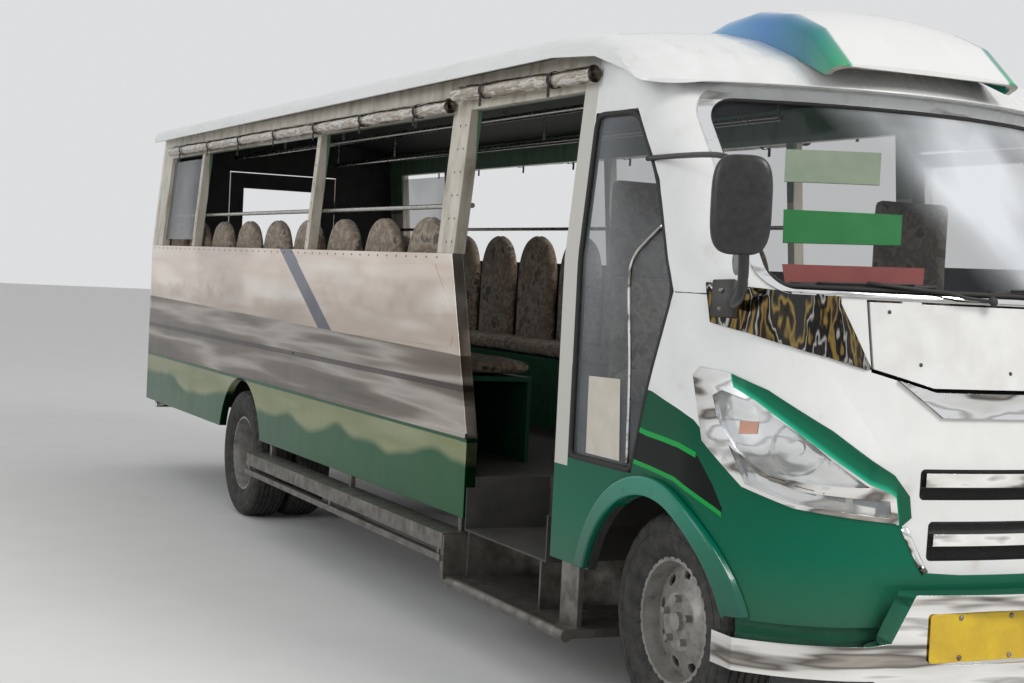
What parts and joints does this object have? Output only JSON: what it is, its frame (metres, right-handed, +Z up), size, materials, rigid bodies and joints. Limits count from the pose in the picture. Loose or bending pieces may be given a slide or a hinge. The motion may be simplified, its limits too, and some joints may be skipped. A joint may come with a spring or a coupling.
{
  "type": "side-entrance passenger jeepney",
  "caption": "Van-shaped passenger jeepney on a ladder frame: steered front wheels, twin rear wheels, open side windows, side entrance, hinged driver door, rear door and front lid.",
  "frame": {"origin": "on the ground, at the middle of the overall length and width", "axes": "+X to the front, +Y to the driver side (left), +Z up"},
  "size_m": [7.38, 1.9604, 2.3],
  "materials": {
    "tyre_rubber": "matt",
    "wheel_silver": "dull silver",
    "chassis_black": "satin",
    "cast_steel": "rough",
    "exhaust_steel": "dull",
    "white_paint": "gloss",
    "stainless": "polished",
    "chrome_trim": "polished",
    "clear_glass": "clear",
    "lamp_mirror": "polished",
    "lamp_lens": "clear",
    "green_paint": "gloss",
    "step_steel": "scuffed",
    "red_lens": "gloss",
    "floor_steel": "matt",
    "seat_fabric": "woven",
    "dash_plastic": "matt",
    "rail_steel": "polished",
    "curtain_vinyl": "soft",
    "mirror_black": "satin",
    "wiper_black": "matt"
  },
  "bodies": {
    "jeepney_body": {"arch_flares": "green_paint", "bench_boxes": "green_paint", "bench_cushions": "seat_fabric", "chassis_frame": "chassis_black", "curtain_rolls": "curtain_vinyl", "dashboard": "dash_plastic", "door_mirrors": "mirror_black", "engine": "cast_steel", "exhaust": "exhaust_steel", "floor": "floor_steel", "front_axle": "chassis_black", "front_body": "white_paint", "front_bumper": "chrome_trim", "front_seats": "seat_fabric", "fuel_tank": "chassis_black", "grille": "chrome_trim", "handrails": "rail_steel", "headlamp_bowls": "lamp_mirror", "headlamp_lenses": "lamp_lens", "rear_axle": "chassis_black", "rear_bumper": "chrome_trim", "rear_wall": "stainless", "roof": "white_paint", "roof_scoop": "white_paint", "side_steps": "step_steel", "side_wall_left": "stainless", "side_wall_right": "stainless", "steering_wheel": "dash_plastic", "tail_lamps": "red_lens", "window_frame_left": "white_paint", "window_frame_right": "white_paint", "window_glass": "clear_glass", "windshield_frame": "chrome_trim", "wipers": "wiper_black"},
    "front_lid": {"front_lid": "white_paint"},
    "driver_door": {"driver_door": "white_paint"},
    "rear_door": {"rear_door": "white_paint"},
    "steer_left": {"knuckle_left": "cast_steel"},
    "steer_right": {"knuckle_right": "cast_steel"},
    "wheel_front_left": {"tyre_front_left": "tyre_rubber", "rim_front_left": "wheel_silver"},
    "wheel_front_right": {"tyre_front_right": "tyre_rubber", "rim_front_right": "wheel_silver"},
    "wheels_rear_left": {"tyres_rear_left": "tyre_rubber", "rims_rear_left": "wheel_silver"},
    "wheels_rear_right": {"tyres_rear_right": "tyre_rubber", "rims_rear_right": "wheel_silver"}
  },
  "joints": [
    {"name": "steer_left_turn", "type": "hinge", "parent": "jeepney_body", "child": "steer_left", "pos_m": [2.93, 0.6, 0.335], "axis": [0, 0, 1], "range_deg": [-32, 32]},
    {"name": "steer_right_turn", "type": "hinge", "parent": "jeepney_body", "child": "steer_right", "pos_m": [2.93, -0.6, 0.335], "axis": [0, 0, 1], "range_deg": [-32, 32]},
    {"name": "wheel_front_left_spin", "type": "hinge", "parent": "steer_left", "child": "wheel_front_left", "pos_m": [2.93, 0.67, 0.335], "axis": [0, 1, 0], "continuous": true},
    {"name": "wheel_front_right_spin", "type": "hinge", "parent": "steer_right", "child": "wheel_front_right", "pos_m": [2.93, -0.67, 0.335], "axis": [0, 1, 0], "continuous": true},
    {"name": "wheels_rear_left_spin", "type": "hinge", "parent": "jeepney_body", "child": "wheels_rear_left", "pos_m": [-1.47, 0.6345, 0.335], "axis": [0, 1, 0], "continuous": true},
    {"name": "wheels_rear_right_spin", "type": "hinge", "parent": "jeepney_body", "child": "wheels_rear_right", "pos_m": [-1.47, -0.6345, 0.335], "axis": [0, 1, 0], "continuous": true},
    {"name": "driver_door_swing", "type": "hinge", "parent": "jeepney_body", "child": "driver_door", "pos_m": [2.993, 0.86, 1.1], "axis": [0, 0, -1], "range_deg": [0, 65]},
    {"name": "rear_door_swing", "type": "hinge", "parent": "jeepney_body", "child": "rear_door", "pos_m": [-3.64, 0.363, 1.2], "axis": [0, 0, -1], "range_deg": [0, 100]},
    {"name": "front_lid_lift", "type": "hinge", "parent": "jeepney_body", "child": "front_lid", "pos_m": [3.496, 0, 1.341], "axis": [0, -1, 0], "range_deg": [0, 50]}
  ],
  "couplings": [
    {"joint": "steer_right_turn", "follows": "steer_left_turn", "ratio": 1}
  ]
}
